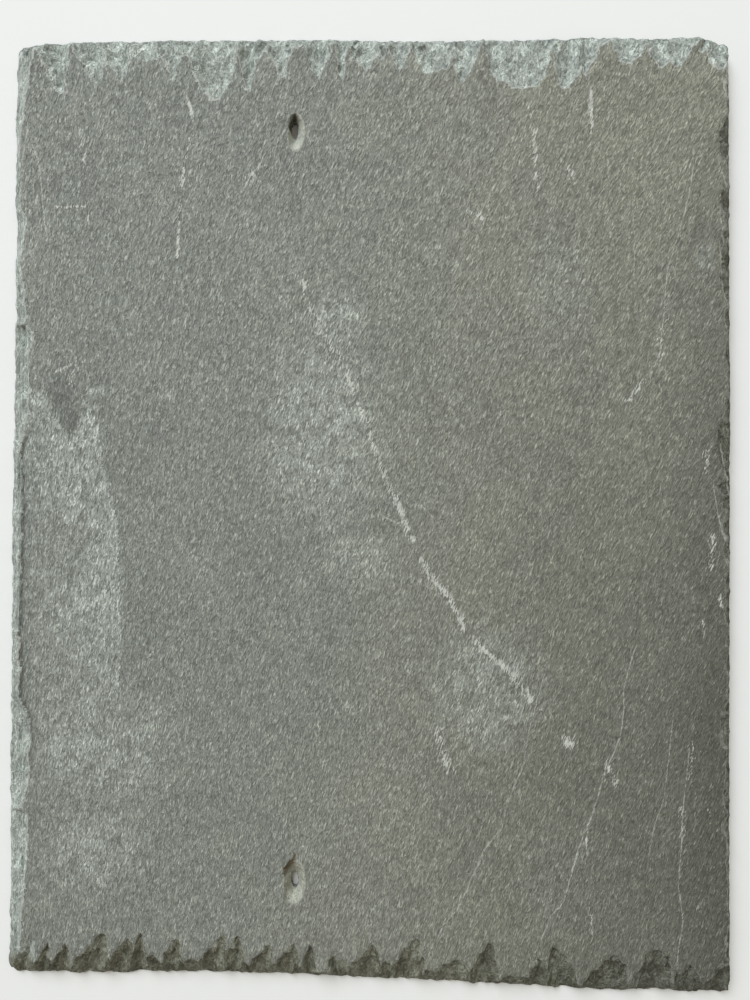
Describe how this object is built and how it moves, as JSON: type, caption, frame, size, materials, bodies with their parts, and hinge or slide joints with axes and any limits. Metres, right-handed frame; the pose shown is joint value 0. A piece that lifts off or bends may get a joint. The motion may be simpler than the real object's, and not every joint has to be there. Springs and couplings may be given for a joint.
{
  "type": "slate slab",
  "caption": "Dressed roofing slate lying face up: a thin riven slab of grey-green stone with flake-scarred edges and two punched nail holes.",
  "frame": {"origin": "centre of the slab's box in plan, on the flat underside", "axes": "+Z out of the dressed face, +Y along the long side towards the edge with the longest flake scars, +X across"},
  "size_m": [0.2286, 0.305, 0.006],
  "materials": {
    "slate": "riven, matt grey-green slate with pale mineral streaks"
  },
  "bodies": {
    "root": {"slate_slab": "slate"}
  },
  "joints": []
}
